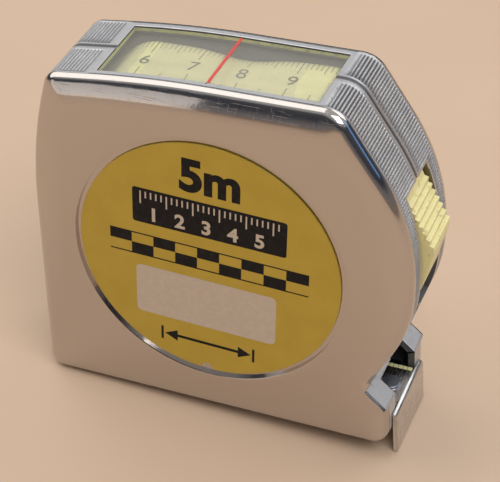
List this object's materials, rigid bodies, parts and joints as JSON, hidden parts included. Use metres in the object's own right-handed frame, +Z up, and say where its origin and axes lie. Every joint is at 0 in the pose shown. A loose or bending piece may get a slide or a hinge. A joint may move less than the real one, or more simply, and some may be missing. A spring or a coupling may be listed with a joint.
{
  "type": "tape measure",
  "caption": "Pocket tape measure in a chromed case with a reading window in the top, thumb lock, round side label, sprung blade with end hook, and belt clip.",
  "frame": {"origin": "on the flat base of the case, on the seam between the two halves, straight below the reel axis", "axes": "+X towards the mouth and end hook, +Y towards the belt clip side, +Z up from the base"},
  "size_m": [0.0816, 0.0342, 0.081],
  "materials": {
    "chrome": "bright plated metal, satin ribbed rim",
    "screw_steel": "plated steel",
    "clip_steel": "bright plated spring steel",
    "hook_steel": "bright plated steel",
    "spring_steel": "blued spring steel",
    "label_yellow": "printed foil label",
    "blade_yellow": "enamelled steel",
    "button_yellow": "moulded plastic",
    "drum_plastic": "moulded plastic",
    "dark_plastic": "moulded plastic",
    "shoe_rubber": "rubber",
    "hairline_red": "printed line",
    "lens": "clear moulded plastic"
  },
  "bodies": {
    "case": {"case_front_shell": "chrome", "case_rear_shell": "chrome", "case_screws": "screw_steel", "centre_post": "dark_plastic", "front_label": "label_yellow", "rear_label": "label_yellow", "window_lens": "lens", "hairline": "hairline_red", "blade_window_run": "blade_yellow", "blade_guides": "screw_steel", "mouth_guide": "dark_plastic", "belt_clip": "clip_steel", "belt_clip_screw": "screw_steel"},
    "blade": {"blade_strip": "blade_yellow", "hook_rivets": "screw_steel"},
    "hook": {"end_hook": "hook_steel"},
    "reel": {"reel_drum": "drum_plastic", "blade_coil": "blade_yellow", "reel_disc_front": "drum_plastic", "reel_disc_rear": "drum_plastic", "power_spring": "spring_steel"},
    "lock": {"lock_button": "button_yellow", "lock_arm": "button_yellow", "lock_shoe": "shoe_rubber"}
  },
  "joints": [
    {"name": "blade_slide", "type": "slide", "parent": "case", "child": "blade", "axis": [1, 0, 0], "range_m": [0, 0.06], "stiffness_N_per_m": 20, "springref_m": -0.15},
    {"name": "hook_slide", "type": "slide", "parent": "blade", "child": "hook", "axis": [1, 0, 0], "range_m": [0, 0.0008]},
    {"name": "reel_spin", "type": "hinge", "parent": "case", "child": "reel", "pos_m": [0, 0, 0.03765], "axis": [0, -1, 0], "range_deg": [0, 122], "deforming": ["power_spring"]},
    {"name": "lock_slide", "type": "hinge", "parent": "case", "child": "lock", "pos_m": [-0.0015, 0, 0.0409], "axis": [0, 1, 0], "range_deg": [0, 10.7]}
  ],
  "couplings": [
    {"joint": "reel_spin", "follows": "blade_slide", "rad_per_m": 35.336}
  ]
}
